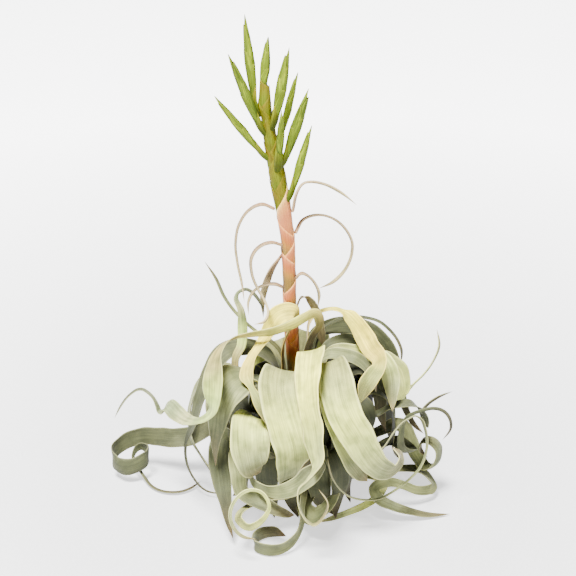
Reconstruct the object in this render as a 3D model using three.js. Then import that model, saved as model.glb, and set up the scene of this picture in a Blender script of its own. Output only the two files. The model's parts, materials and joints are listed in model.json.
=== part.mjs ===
// An air plant in bloom, laid on a surface: a silver rosette of long ribbon leaves that arch over and
// curl, and an upright flower stem with sheathing bracts and flat green spikelets.
// Millimetres, +Z up. The origin is the middle of the stem's flat foot. +X is right and -Y is the front.
import * as THREE from "three";

// The short stem, which rests on its flat foot
const stemRadius = 15;
const stemTopRadius = 8.5;
const stemHeight = 98;
const stemShoulder = 60;
const footRadius = 12;
const footHeight = 4;
const crownRise = 0.01;
const stemSides = 25;

// The ribbon blades: how thick they are and how finely they are divided
const bladeThickness = 1.2;
const tendrilThickness = 1.1;
const marginShare = 0.6;
const channelShare = 0.09;
const tendrilWidth = 6.5;
const turnPerRing = 21;
const longestStep = 17;
const shortestStep = 3.2;
const evenStep = 4;
const stepsPerSpan = 24;

// The roots of the blades on the stem, and how far a root stays where it grows
const seat = 0.35;
const rootWidth = 9;
const shoulderWidth = 12;
const shoulderShare = 0.3;
const pinnedRoot = 12;
const bladePinned = 4;

// Blades lie clear of each other by this much, and are looked at over this reach
const clearance = 2.6;
const reach = 7;
const ownStretch = 24;
const settleRounds = 60;
const settleShare = 0.35;
const smoothPasses = 4;

// The flower stem: heights of its bracts along it, and how it swells into the head
const bractHeights = [0, 22, 46, 72, 98, 122, 144, 163, 179, 194, 209, 224, 238, 251];
const bractRim = 1.5;
const bractRimShare = 0.6;
const bractLip = 0.8;
const headStart = 170;
const headMiddle = 202;
const headSpread = 34;
const headSwell = 1.5;
const scapeFoot = 6.2;
const scapeTopShare = 0.84;
const scapeSides = 10;
const scapeTip = 8;
const seatRounds = 5;

// The spikelets: half their width, as shares, at places along them, and how flat they are
const spikeletProfile = [
  [0, 0.42], [0.12, 0.6], [0.28, 0.86], [0.46, 1], [0.64, 0.84], [0.8, 0.55], [0.92, 0.25],
];
const spikeletSection = [[-1, 0], [-0.5, -1], [0.5, -1], [1, 0], [0.5, 1], [-0.5, 1]];
const spikeletFlatness = 0.45;
const spikeletThinnest = 0.6;

// Directions that a blade's width may lie in
const right = new THREE.Vector3(1, 0, 0);
const deep = new THREE.Vector3(0, 1, 0);
const up = new THREE.Vector3(0, 0, 1);
const lean = new THREE.Vector3(0, 0.6, 0.8);
const rise = new THREE.Vector3(0.7, 0, 0.7);
const upright = new THREE.Vector3(0, 0.25, 0.97);
const slant = new THREE.Vector3(0.8, -0.6, 0);

const finishes = {
  leaf: { color: 0xc9cfae, roughness: 0.85, metalness: 0 },
  leaf_shade: { color: 0x8f9274, roughness: 0.85, metalness: 0 },
  leaf_cream: { color: 0xe6dcb4, roughness: 0.85, metalness: 0 },
  bract: { color: 0xd29a7c, roughness: 0.7, metalness: 0 },
  blade: { color: 0xb39a78, roughness: 0.75, metalness: 0 },
  spikelet: { color: 0x9fb52c, roughness: 0.5, metalness: 0 },
  stem: { color: 0x7a6a4c, roughness: 0.9, metalness: 0 },
};

const plant = new THREE.Group();

function addPiece(name, geometry, finish) {
  const material = new THREE.MeshStandardMaterial(finishes[finish]);
  const mesh = new THREE.Mesh(geometry, material);
  mesh.name = name;
  plant.add(mesh);
}

// A closed skin over rings that all have the same number of points, with a point at the far end
function skinRings(rings, tip) {
  const count = rings[0].length;
  const points = rings.flat().concat([tip]);
  const last = (rings.length - 1) * count;
  const faces = [];
  for (let i = 0; i < rings.length - 1; i++) {
    for (let j = 0; j < count; j++) {
      const a = i * count + j;
      const b = i * count + ((j + 1) % count);
      faces.push(a, b, a + count, b, b + count, a + count);
    }
  }
  for (let j = 0; j < count; j++) {
    faces.push(last + j, last + ((j + 1) % count), points.length - 1);
  }
  for (let j = 1; j < count - 1; j++) {
    faces.push(0, j + 1, j);
  }
  const geometry = new THREE.BufferGeometry();
  const flat = new Float32Array(points.flatMap((p) => [p.x, p.y, p.z]));
  geometry.setAttribute("position", new THREE.BufferAttribute(flat, 3));
  geometry.setIndex(faces);
  return geometry;
}

function stemRadiusAt(z) {
  const share = THREE.MathUtils.clamp((z - stemShoulder) / (stemHeight - stemShoulder), 0, 1);
  return THREE.MathUtils.lerp(stemRadius, stemTopRadius, share);
}

// Where a leaf leaves the stem: a compass angle in degrees and a height
function onStem([angle, height], lift) {
  const turn = THREE.MathUtils.degToRad(angle);
  const r = stemRadiusAt(height) + lift;
  return new THREE.Vector3(r * Math.cos(turn), r * Math.sin(turn), height);
}

// Rows are x, y, z, width and, where the blade twists, the direction that its width lies in
function readRows(rows) {
  return {
    points: rows.map(([x, y, z]) => new THREE.Vector3(x, y, z)),
    widths: rows.map((row) => row[3]),
    hints: rows.map((row) => row[4] ?? null),
  };
}

function blendWidth(widths, u) {
  const place = u * (widths.length - 1);
  const i = Math.min(Math.floor(place), widths.length - 2);
  const share = THREE.MathUtils.smoothstep(place - i, 0, 1);
  return THREE.MathUtils.lerp(widths[i], widths[i + 1], (share + place - i) / 2);
}

// The frames of a ribbon: its width is carried along the curve and rolled to meet the hints
function rollRibbon(route, startAcross) {
  const curve = new THREE.CatmullRomCurve3(route.points, false, "centripetal");
  const segments = route.points.length - 1;
  const steps = [];
  let across = startAcross.clone();
  for (let i = 0; i <= segments * stepsPerSpan; i++) {
    const u = i / (segments * stepsPerSpan);
    const tangent = curve.getTangent(u);
    across.addScaledVector(tangent, -across.dot(tangent)).normalize();
    steps.push({ u, centre: curve.getPoint(u), tangent, across: across.clone(), roll: 0 });
  }
  const marks = [{ at: 0, roll: 0 }];
  route.hints.forEach((hint, k) => {
    if (!hint) return;
    const step = steps[k * stepsPerSpan];
    const wanted = hint.clone().addScaledVector(step.tangent, -hint.dot(step.tangent)).normalize();
    const side = new THREE.Vector3().crossVectors(step.tangent, step.across);
    let roll = Math.atan2(wanted.dot(side), wanted.dot(step.across));
    const before = marks[marks.length - 1].roll;
    while (roll - before > Math.PI / 2) roll -= Math.PI;
    while (roll - before < -Math.PI / 2) roll += Math.PI;
    marks.push({ at: k * stepsPerSpan, roll });
  });
  for (let m = 0; m < marks.length; m++) {
    const end = marks[m + 1] ?? { at: steps.length, roll: marks[m].roll };
    for (let i = marks[m].at; i < Math.min(end.at + 1, steps.length); i++) {
      const share = THREE.MathUtils.smoothstep(i, marks[m].at, Math.max(end.at, marks[m].at + 1));
      steps[i].roll = THREE.MathUtils.lerp(marks[m].roll, end.roll, share);
    }
  }
  for (const step of steps) {
    step.across.applyAxisAngle(step.tangent, step.roll);
    step.width = blendWidth(route.widths, step.u);
  }
  return steps;
}

// The same ribbon in steps of one length
function evenSteps(steps) {
  const even = [steps[0]];
  let length = 0;
  for (let i = 1; i < steps.length - 1; i++) {
    length += steps[i].centre.distanceTo(steps[i - 1].centre);
    if (length > evenStep) {
      even.push(steps[i]);
      length = 0;
    }
  }
  even.push(steps[steps.length - 1]);
  return even;
}

// Points spread over a ribbon's face, each with the face's normal
function facePoints(ribbon, index) {
  const points = [];
  ribbon.steps.forEach((step, place) => {
    const normal = new THREE.Vector3().crossVectors(step.tangent, step.across);
    const count = Math.max(1, Math.ceil(step.width / evenStep));
    for (let k = 0; k <= count; k++) {
      const side = (k / count - 0.5) * step.width;
      const at = step.centre.clone().addScaledVector(step.across, side);
      points.push({ ribbon: index, place, at, normal });
    }
  });
  return points;
}

function cellOf(at, dx = 0, dy = 0, dz = 0) {
  const cell = (v, d) => Math.floor(v / reach) + d;
  return `${cell(at.x, dx)},${cell(at.y, dy)},${cell(at.z, dz)}`;
}

function sameStretch(a, b) {
  return a.ribbon === b.ribbon && Math.abs(a.place - b.place) * evenStep < ownStretch;
}

const cellsRound = [-1, 0, 1].flatMap((dx) =>
  [-1, 0, 1].flatMap((dy) => [-1, 0, 1].map((dz) => [dx, dy, dz])));

// The face points near one point, apart from those of its own stretch of blade
function neighbours(cells, a) {
  const found = cellsRound.flatMap((d) => cells.get(cellOf(a.at, ...d)) ?? []);
  return found.filter((b) => !sameStretch(a, b) && a.at.distanceToSquared(b.at) <= reach * reach);
}

// How far point a must move along b's face to lie clear on its own side
function shortfall(a, b) {
  const gap = a.at.clone().sub(b.at);
  const lift = gap.dot(b.normal);
  const along = Math.sqrt(Math.max(gap.lengthSq() - lift * lift, 0));
  if (along > evenStep) return 0;
  const side = Math.sign(lift) || 1;
  const missing = clearance - side * lift;
  return missing > 0 ? side * missing : 0;
}

function keepLargest(push, normal, move) {
  if (Math.abs(move) <= push.most) return;
  push.most = Math.abs(move);
  push.sum.copy(normal).multiplyScalar(move * settleShare);
}

// Blades that touch or cross are bent clear of each other, a little in each round
function settle() {
  for (let round = 0; round < settleRounds; round++) {
    const points = ribbons.flatMap(facePoints);
    const cells = new Map();
    for (const point of points) {
      const key = cellOf(point.at);
      if (!cells.has(key)) cells.set(key, []);
      cells.get(key).push(point);
    }
    const pushes = ribbons.map((r) => r.steps.map(() => ({ sum: new THREE.Vector3(), most: 0 })));
    for (const a of points) {
      for (const b of neighbours(cells, a)) {
        const move = shortfall(a, b);
        keepLargest(pushes[a.ribbon][a.place], b.normal, move);
        keepLargest(pushes[b.ribbon][b.place], b.normal, -move);
      }
    }
    ribbons.forEach((ribbon, r) => moveRibbon(ribbon, pushes[r]));
  }
}

// Moves are smoothed along the blade, roots stay and nothing goes below the surface it rests on
function moveRibbon(ribbon, pushes) {
  const steps = ribbon.steps;
  let moves = pushes.map((p) => p.sum);
  for (let pass = 0; pass < smoothPasses; pass++) {
    moves = moves.map((m, i) => {
      const before = moves[Math.max(i - 1, 0)];
      const after = moves[Math.min(i + 1, moves.length - 1)];
      return m.clone().multiplyScalar(2).add(before).add(after).divideScalar(4);
    });
  }
  steps.forEach((step, i) => {
    const free = THREE.MathUtils.clamp((i * evenStep - ribbon.pinned / 2) / ribbon.pinned, 0, 1);
    step.centre.addScaledVector(moves[i], free);
    const hang = (Math.abs(step.across.z) * step.width) / 2 + bladeThickness;
    step.centre.z = Math.max(step.centre.z, hang);
  });
  steps.forEach((step, i) => {
    const before = steps[Math.max(i - 1, 0)].centre;
    const after = steps[Math.min(i + 1, steps.length - 1)].centre;
    step.tangent = after.clone().sub(before).normalize();
    step.across.addScaledVector(step.tangent, -step.across.dot(step.tangent)).normalize();
  });
}

// Fewer rings where the ribbon runs straight, more where it curls
function thinSteps(steps) {
  const kept = [steps[0]];
  let length = 0;
  let turn = 0;
  for (let i = 1; i < steps.length; i++) {
    const before = steps[i - 1];
    length += steps[i].centre.distanceTo(before.centre);
    turn += THREE.MathUtils.radToDeg(steps[i].tangent.angleTo(before.tangent));
    turn += THREE.MathUtils.radToDeg(steps[i].across.angleTo(before.across)) / 2;
    const due = length > longestStep || turn > turnPerRing;
    if (due && length > shortestStep && i < steps.length - 3) {
      kept.push(steps[i]);
      length = 0;
      turn = 0;
    }
  }
  kept.push(steps[steps.length - 1]);
  return kept;
}

// A blade is a shallow channel with six points round it, a tendril a flat strip with four
function ribbonRing(step, slim) {
  const face = new THREE.Vector3().crossVectors(step.tangent, step.across);
  const half = step.width / 2;
  const thick = slim ? tendrilThickness : bladeThickness;
  const place = (side, lift) =>
    step.centre.clone().addScaledVector(step.across, side * half).addScaledVector(face, lift);
  if (slim) {
    return [place(-1, 0), place(0, -thick / 2), place(1, 0), place(0, thick / 2)];
  }
  const margin = (thick * marginShare) / 2;
  const sag = step.width * channelShare;
  return [
    place(-1, sag / 2 - margin),
    place(0, -sag / 2 - thick / 2),
    place(1, sag / 2 - margin),
    place(1, sag / 2 + margin),
    place(0, -sag / 2 + thick / 2),
    place(-1, sag / 2 + margin),
  ];
}

function ribbonGeometry(steps) {
  const slim = Math.max(...steps.map((s) => s.width)) <= tendrilWidth;
  const rings = steps.slice(0, -1).map((step) => ribbonRing(step, slim));
  return skinRings(rings, steps[steps.length - 1].centre.clone());
}

const ribbons = [];

function addRibbon(name, rows, startAcross, finish, pinned) {
  const steps = rollRibbon(readRows(rows), startAcross);
  ribbons.push({ name, finish, pinned, steps: evenSteps(steps) });
}

function addLeaf(name, root, rows, finish) {
  const base = onStem(root, bladeThickness / 2 + seat);
  const turn = THREE.MathUtils.degToRad(root[0]);
  const across = new THREE.Vector3(-Math.sin(turn), Math.cos(turn), 0);
  const shoulder = base.clone().lerp(new THREE.Vector3(...rows[0]), shoulderShare);
  const width = rows[0][3];
  const first = [...base.toArray(), Math.min(rootWidth, width)];
  const second = [...shoulder.toArray(), Math.min(shoulderWidth, width)];
  addRibbon(name, [first, second, ...rows], across, finish, pinnedRoot);
}

// Leaves of the front
addLeaf("leaf_front_bright", [-84, 68], [
  [13, -36, 163, 24], [10, -62, 156, 25], [10, -80, 141, 21], [14, -93, 122, 26], [16, -101, 108, 29],
  [18, -106, 98, 22], [11, -112, 88, 3, deep], [2, -110, 75, 3], [4, -110, 53, 3], [15, -108, 38, 3],
  [26, -110, 58, 3], [18, -114, 78, 2],
], "leaf_cream");
addLeaf("leaf_front_left", [-112, 52], [
  [-12, -36, 145, 26], [-15, -60, 141, 33], [-9, -79, 120, 32], [-2, -86, 95, 32], [-2, -80, 73, 31],
  [-5, -62, 53, 18], [-10, -50, 53, 7],
], "leaf");
addLeaf("leaf_front_right", [-55, 50], [
  [30, -34, 152, 20], [34, -62, 143, 30], [39, -78, 128, 29], [52, -84, 105, 28], [66, -82, 80, 22],
  [81, -74, 68, 17], [89, -66, 76, 14], [81, -62, 84, 8],
], "leaf");
addLeaf("leaf_left_wide", [-152, 48], [
  [-36, -31, 132, 24], [-53, -53, 141, 36], [-63, -63, 126, 26], [-66, -63, 103, 15], [-68, -61, 83, 7],
  [-68, -58, 62, 3],
], "leaf");
addLeaf("leaf_lower_left", [-132, 32], [
  [-35, -50, 107, 16], [-38, -68, 113, 30], [-38, -83, 106, 36], [-36, -88, 90, 33], [-33, -87, 75, 18],
  [-31, -77, 70, 4],
], "leaf");
addLeaf("leaf_cup", [-98, 28], [
  [-28, -62, 76, 8], [-36, -75, 65, 8], [-29, -88, 61, 10, up], [-14, -94, 61, 12], [2, -97, 70, 15, lean],
  [13, -97, 82, 16], [20, -93, 88, 13, lean], [17, -88, 90, 11], [8, -88, 83, 6], [1, -88, 75, 2],
], "leaf_cream");
addLeaf("leaf_lower_pale", [-140, 16], [
  [-50, -60, 78, 12], [-49, -73, 68, 14], [-40, -82, 51, 12], [-24, -88, 43, 13], [-9, -88, 35, 7],
  [2, -82, 29, 3],
], "leaf");
addLeaf("leaf_lower_dark", [-162, 20], [
  [-62, -40, 80, 18], [-65, -52, 66, 20], [-63, -62, 50, 17], [-60, -72, 36, 11], [-58, -80, 24, 5],
  [-53, -88, 8, 3],
], "leaf_shade");
addLeaf("leaf_loop", [-112, 10], [
  [-10, -66, 35, 7], [-27, -76, 40, 8], [-43, -86, 39, 8], [-48, -94, 35, 8], [-40, -99, 29, 7],
  [-28, -100, 37, 5], [-22, -100, 51, 3], [-28, -98, 63, 3], [-39, -96, 64, 3], [-51, -98, 54, 3],
  [-54, -104, 41, 3], [-46, -108, 28, 3], [-32, -110, 25, 3],
], "leaf");
addLeaf("leaf_bottom_coil", [-86, 16], [
  [7, -62, 38, 7], [5, -76, 28, 8], [2, -88, 16, 11, up], [-8, -98, 9, 14], [-23, -102, 8, 14],
  [-35, -94, 7, 14], [-32, -82, 7, 13], [-19, -76, 7, 11], [-8, -82, 7, 8, up],
], "leaf");
addLeaf("leaf_lower_cup", [-64, 7], [
  [14, -48, 26, 9], [8, -60, 22, 14], [14, -70, 19, 17], [24, -74, 28, 17], [31, -66, 33, 14],
  [35, -58, 33, 7], [34, -52, 19, 3],
], "leaf");
addLeaf("leaf_behind_right", [-66, 34], [
  [23, -52, 132, 14], [29, -62, 115, 15], [37, -66, 94, 14], [47, -66, 74, 19], [56, -62, 57, 14],
  [62, -56, 45, 4],
], "leaf");

// Leaves of the right
addLeaf("leaf_folded_right", [-16, 12], [
  [114, -8, 24, 12], [126, -16, 12, 10], [110, -28, 16, 8], [86, -34, 29, 8], [70, -38, 26, 10],
  [73, -46, 20, 12], [96, -50, 11, 8], [119, -48, 4, 5], [138, -44, 2, 2],
], "leaf");
addLeaf("leaf_strap_right", [-24, 24], [
  [80, -22, 20, 7], [72, -34, 12, 7], [50, -46, 7, 6], [30, -54, 4, 4], [19, -58, 3, 3],
], "leaf");
addLeaf("leaf_pale_loop", [-36, 36], [
  [70, -50, 70, 8], [90, -42, 94, 8], [104, -40, 101, 7], [113, -44, 79, 4], [107, -52, 56, 3],
  [90, -60, 43, 3], [71, -70, 37, 3], [48, -74, 41, 3], [32, -78, 60, 3], [26, -82, 87, 3],
], "leaf_cream");
addLeaf("leaf_right_coil", [12, 20], [
  [60, 20, 36, 14], [97, 17, 56, 18], [108, 6, 38, 18], [118, -6, 26, 16], [128, -12, 35, 15],
  [128, -10, 51, 13], [117, -6, 56, 11], [113, -2, 44, 8], [120, -4, 35, 3],
], "leaf");
addLeaf("leaf_right_tendril", [-10, 28], [
  [70, 0, 42, 12], [90, -3, 52, 16], [101, -16, 50, 17], [93, -28, 62, 7], [96, -31, 94, 3],
  [113, -29, 101, 3], [129, -24, 96, 3], [137, -20, 78, 3], [130, -18, 62, 2],
], "leaf_shade");
addLeaf("leaf_right_pale", [22, 44], [
  [56, 20, 98, 12], [77, 20, 125, 17], [91, 16, 118, 18], [97, 11, 104, 17], [95, 8, 90, 11],
  [104, 18, 94, 4], [118, 27, 106, 3], [127, 30, 121, 3], [130, 32, 136, 3], [127, 34, 147, 2],
], "leaf");
addLeaf("leaf_right_band", [-18, 44], [
  [50, -14, 74, 11], [73, -21, 94, 14], [86, -25, 103, 15], [100, -23, 103, 17], [111, -17, 90, 16],
  [115, -8, 73, 9], [114, 4, 79, 4], [127, 10, 89, 3], [142, 14, 94, 2],
], "leaf_shade");
addLeaf("leaf_arch_outer", [40, 72], [
  [18, 31, 143, 11], [41, 42, 146, 16, lean], [60, 46, 141, 18, lean], [76, 46, 130, 19, rise],
  [86, 43, 116, 17], [92, 38, 100, 13], [98, 36, 78, 9], [108, 30, 53, 5], [120, 26, 41, 3],
], "leaf_shade");
addLeaf("leaf_arch_middle", [6, 58], [
  [27, 5, 143, 9], [42, 11, 146, 14, lean], [55, 10, 144, 16, lean], [66, 5, 133, 17, rise],
  [73, 0, 112, 15], [76, -3, 86, 10], [78, -3, 68, 5], [82, 0, 60, 2],
], "leaf_shade");
addLeaf("leaf_arch_pale", [-46, 64], [
  [25, -16, 146, 9], [42, -19, 149, 11, lean], [53, -22, 146, 11, lean], [61, -23, 138, 10, lean],
  [66, -22, 130, 9], [69, -21, 122, 6], [70, -21, 113, 2],
], "leaf");
addLeaf("leaf_peach_band", [-8, 90], [
  [11, 2, 160, 8], [15, 5, 174, 8, deep], [29, 7, 180, 7, deep], [40, 4, 179, 8, deep],
  [48, 0, 175, 12, rise], [55, -6, 168, 17, rise], [61, -12, 160, 18], [66, -18, 154, 18],
  [71, -25, 149, 15, rise], [70, -34, 146, 13], [65, -41, 142, 14, right], [59, -46, 135, 14, right],
  [55, -49, 127, 8], [53, -51, 119, 2],
], "leaf_cream");
addLeaf("leaf_right_tip", [-12, 78], [
  [31, -5, 146, 8], [54, -5, 145, 11], [72, -9, 142, 15, rise], [80, -16, 134, 17, rise],
  [82, -21, 123, 15, right], [83, -29, 113, 9, right], [83, -37, 103, 3],
], "leaf");

// Leaves of the left
addLeaf("leaf_long_band", [-66, 90], [
  [12, -10, 156, 8], [21, -11, 176, 8], [16, -14, 186, 9, up], [3, -20, 182, 10], [-13, -25, 176, 10],
  [-32, -27, 173, 10], [-46, -27, 171, 9], [-56, -33, 170, 9], [-63, -44, 168, 9], [-66, -56, 164, 12],
  [-67, -67, 158, 17, slant], [-67, -75, 149, 21, slant], [-68, -77, 137, 19], [-70, -73, 124, 10],
  [-81, -62, 110, 7], [-92, -44, 99, 11, deep], [-102, -26, 94, 15], [-112, -13, 95, 13],
  [-120, -6, 84, 5], [-125, -2, 95, 3], [-137, 4, 102, 3], [-152, 8, 90, 3], [-164, 10, 68, 2],
], "leaf");
addLeaf("leaf_yellow_twist", [-172, 86], [
  [-10, -12, 158, 9], [1, -14, 186, 15, lean], [-13, -16, 186, 19, lean], [-26, -19, 166, 11],
  [-34, -30, 158, 5], [-39, -42, 154, 9], [-41, -51, 146, 12, right], [-36, -60, 139, 4],
  [-31, -67, 132, 10, right], [-27, -72, 125, 9], [-24, -77, 115, 2],
], "leaf_cream");
addLeaf("leaf_orange_strip", [-164, 76], [
  [-32, -6, 114, 7], [-50, -12, 126, 7], [-52, -11, 138, 7], [-47, -3, 149, 8], [-46, 1, 161, 9, right],
  [-46, 2, 175, 8, right], [-48, 3, 184, 5], [-51, 4, 191, 4], [-49, 4, 197, 3], [-42, 4, 200, 3],
  [-35, 4, 195, 3], [-30, 3, 187, 3], [-26, 1, 179, 2],
], "leaf_cream");
addLeaf("leaf_olive_left", [160, 62], [
  [-18, 8, 124, 12], [-30, 11, 137, 20], [-46, 8, 142, 22], [-62, 0, 140, 20], [-75, -6, 124, 17],
  [-85, -11, 98, 13], [-92, -12, 72, 8], [-98, -6, 54, 4], [-98, -8, 30, 3], [-84, -14, 8, 3],
  [-66, -20, 6, 2],
], "leaf_shade");
addLeaf("leaf_olive_low", [162, 40], [
  [-57, 26, 110, 16], [-80, 28, 103, 20], [-92, 25, 86, 18], [-97, 17, 66, 14], [-94, 6, 47, 11],
  [-83, -6, 34, 8], [-72, -20, 24, 5], [-66, -32, 16, 3],
], "leaf_shade");
addLeaf("leaf_left_coil", [172, 24], [
  [-66, 14, 60, 15], [-95, 22, 42, 18, lean], [-117, 27, 36, 18, lean], [-138, 33, 35, 17, upright],
  [-155, 33, 31, 16, upright], [-168, 24, 25, 16, upright], [-167, 13, 18, 16, upright],
  [-154, 7, 17, 16, upright], [-141, 11, 21, 15, upright], [-137, 21, 27, 12, upright],
  [-146, 26, 27, 7], [-151, 19, 20, 3], [-142, 10, 8, 3], [-131, -4, 3, 3], [-117, -12, 3, 3],
  [-101, -10, 3, 3], [-87, 4, 4, 2],
], "leaf");

// Inner leaves that close the dark heart of the rosette
addLeaf("leaf_heart_right", [-32, 46], [
  [34, -18, 94, 18], [50, -28, 109, 27], [61, -35, 102, 24], [64, -40, 86, 14], [62, -39, 77, 6],
], "leaf_shade");
addLeaf("leaf_heart_left", [-162, 37], [
  [-34, -14, 86, 18], [-44, -19, 100, 28], [-50, -23, 90, 26], [-49, -22, 72, 18], [-44, -18, 62, 5],
], "leaf_shade");

// Two slender leaves that rise high behind the others
addLeaf("leaf_left_thin", [128, 92], [
  [-14, 14, 136, 4], [-36, 12, 157, 3], [-48, 16, 167, 3], [-61, 20, 183, 3], [-66, 22, 196, 3],
  [-79, 26, 217, 2],
], "leaf_shade");
addLeaf("leaf_right_thin", [58, 86], [
  [20, 26, 146, 4], [40, 31, 158, 3], [59, 31, 160, 3], [75, 30, 156, 3], [86, 29, 146, 3],
  [93, 28, 135, 3], [95, 27, 127, 3], [96, 26, 115, 2],
], "leaf_shade");

// Leaves of the back, each an arch of its own reach that ends in a curl
const backLeaves = [
  { angle: 76, root: 62, crest: 134, far: 70, width: 30, curl: 12, turns: 0.9, low: 54 },
  { angle: 92, root: 42, crest: 106, far: 64, width: 30, curl: 10, turns: 1.1, low: 46 },
  { angle: 111, root: 77, crest: 124, far: 72, width: 30, curl: 12, turns: 0.8, low: 52 },
  { angle: 128, root: 42, crest: 94, far: 57, width: 24, curl: 9, turns: 1.0, low: 44 },
  { angle: 46, root: 26, crest: 46, far: 78, width: 22, curl: 11, turns: 1.2, low: 1 },
  { angle: 84, root: 16, crest: 36, far: 86, width: 25, curl: 10, turns: 1.3, low: 1 },
  { angle: 124, root: 24, crest: 40, far: 82, width: 24, curl: 11, turns: 1.1, low: 1 },
];
const riseAt = { reach: 0.4, height: 0.68, width: 0.5 };
const crestAt = { reach: 0.68, width: 0.8 };
const shoulderAt = { reach: 0.96, height: 0.95 };
const fallAt = { reach: 1.12, height: 0.56 };
const curlReach = 1.15;
const arcsPerTurn = 8;
const curlTightening = 0.55;
const curlWidthShare = 0.62;
const curlTaper = 0.5;

function backRoute({ angle, root, crest, far, width, curl, turns, low }) {
  const turn = THREE.MathUtils.degToRad(angle);
  const along = (r, z, w) => [r * Math.cos(turn), r * Math.sin(turn), z, w];
  const curlHeight = low + curl + bladeThickness;
  const rows = [
    along(far * riseAt.reach, THREE.MathUtils.lerp(root, crest, riseAt.height), width * riseAt.width),
    along(far * crestAt.reach, crest, width * crestAt.width),
    along(far * shoulderAt.reach, crest * shoulderAt.height, width),
    along(far * fallAt.reach, THREE.MathUtils.lerp(curlHeight, crest, fallAt.height), width),
  ];
  const arcs = Math.round(turns * arcsPerTurn);
  for (let i = 0; i <= arcs; i++) {
    const bend = (i / arcsPerTurn) * 2 * Math.PI;
    const r = curl * (1 - (curlTightening * i) / arcs);
    const out = far * curlReach + curl - r * Math.cos(bend);
    const share = curlWidthShare - (curlTaper * i) / arcs;
    rows.push(along(out, curlHeight - r * Math.sin(bend), width * share));
  }
  return rows;
}

backLeaves.forEach((leaf, i) => {
  const finish = i % 2 ? "leaf_shade" : "leaf";
  addLeaf(`leaf_back_${i + 1}`, [leaf.angle, leaf.root], backRoute(leaf), finish);
});

// The flower stem leans a little to the left, and each bract round it swells to its rim and steps in
const scapeRoute = [
  [0, 0, 98.6], [-3, 0, 148], [-5, 0, 192], [-7, 0, 250], [-12, 0, 285], [-18, 0, 320], [-25, 0, 362],
].map((p) => new THREE.Vector3(...p));
const scapeCurve = new THREE.CatmullRomCurve3(scapeRoute, false, "centripetal");
const scapeLength = scapeCurve.getLength();
const scapeTop = scapeCurve.getPointAt(1).addScaledVector(scapeCurve.getTangentAt(1), scapeTip);

function scapeSize(length) {
  const i = bractHeights.findLastIndex((h) => h <= length);
  const next = bractHeights[i + 1] ?? scapeLength + 1;
  const share = (length - bractHeights[i]) / (next - bractHeights[i]);
  const swell = headSwell * Math.exp(-(((length - headMiddle) / headSpread) ** 2));
  const upHead = THREE.MathUtils.smoothstep(length, headStart, scapeLength);
  const taper = THREE.MathUtils.lerp(1, scapeTopShare, upHead);
  return scapeFoot * taper + swell + bractRim * (share - bractRimShare);
}

const ringLengths = bractHeights.flatMap((h, i) => {
  const next = bractHeights[i + 1] ?? scapeLength;
  return [h + bractLip, (h + next) / 2, next - bractLip];
});
ringLengths[0] = 0;

function scapeFrame(length) {
  const u = THREE.MathUtils.clamp(length / scapeLength, 0, 1);
  const centre = scapeCurve.getPointAt(u);
  const tangent = scapeCurve.getTangentAt(u);
  const side = right.clone().addScaledVector(tangent, -right.dot(tangent)).normalize();
  const back = new THREE.Vector3().crossVectors(tangent, side);
  return { centre, tangent, side, back };
}

function scapeGeometry() {
  const rings = ringLengths.map((length) => {
    const { centre, side, back } = scapeFrame(length);
    const r = scapeSize(length);
    return Array.from({ length: scapeSides }, (_, k) => {
      const turn = (k / scapeSides) * 2 * Math.PI;
      const out = side.clone().multiplyScalar(Math.cos(turn)).addScaledVector(back, Math.sin(turn));
      return centre.clone().addScaledVector(out, r);
    });
  });
  return skinRings(rings, scapeTop.clone());
}

// How far a point lies outside the flower stem's faceted skin
function clearOfScape(point) {
  let length = point.z - scapeRoute[0].z;
  for (let i = 0; i < seatRounds; i++) {
    const { centre, tangent } = scapeFrame(length);
    length += point.clone().sub(centre).dot(tangent);
  }
  const { centre, side, back } = scapeFrame(length);
  const away = point.clone().sub(centre);
  const i = THREE.MathUtils.clamp(ringLengths.findLastIndex((h) => h <= length), 0, ringLengths.length - 2);
  const share = (length - ringLengths[i]) / (ringLengths[i + 1] - ringLengths[i]);
  const r = THREE.MathUtils.lerp(scapeSize(ringLengths[i]), scapeSize(ringLengths[i + 1]), share);
  const facet = (2 * Math.PI) / scapeSides;
  const turn = THREE.MathUtils.euclideanModulo(Math.atan2(away.dot(back), away.dot(side)), facet);
  return away.length() - (r * Math.cos(facet / 2)) / Math.cos(turn - facet / 2);
}

// The place at an angle and a height where a piece's first ring just clears the flower stem
function seatOnScape([angle, height], ringAt) {
  const turn = THREE.MathUtils.degToRad(angle);
  const out = new THREE.Vector3(Math.cos(turn), Math.sin(turn), 0);
  const { centre } = scapeFrame(height - scapeRoute[0].z);
  let lift = 2 * scapeFoot;
  for (let i = 0; i < seatRounds; i++) {
    const gaps = ringAt(centre.clone().addScaledVector(out, lift)).map(clearOfScape);
    lift += seat - Math.min(...gaps);
  }
  return centre.addScaledVector(out, lift);
}

addPiece("scape", scapeGeometry(), "bract");

// The bract blades: thin curling ends of the bracts, each from its own side of the flower stem
function addBlade(name, place, rows) {
  const turn = THREE.MathUtils.degToRad(place[0]);
  const across = new THREE.Vector3(-Math.sin(turn), Math.cos(turn), 0);
  const [x, y, z, width] = rows[0];
  const start = seatOnScape(place, (base) => {
    const tangent = new THREE.Vector3(x, y, z).sub(base).normalize();
    const side = across.clone().addScaledVector(tangent, -across.dot(tangent)).normalize();
    return ribbonRing({ centre: base, tangent, across: side, width }, true);
  });
  addRibbon(name, [[...start.toArray(), width], ...rows], across, "blade", bladePinned);
}

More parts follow.
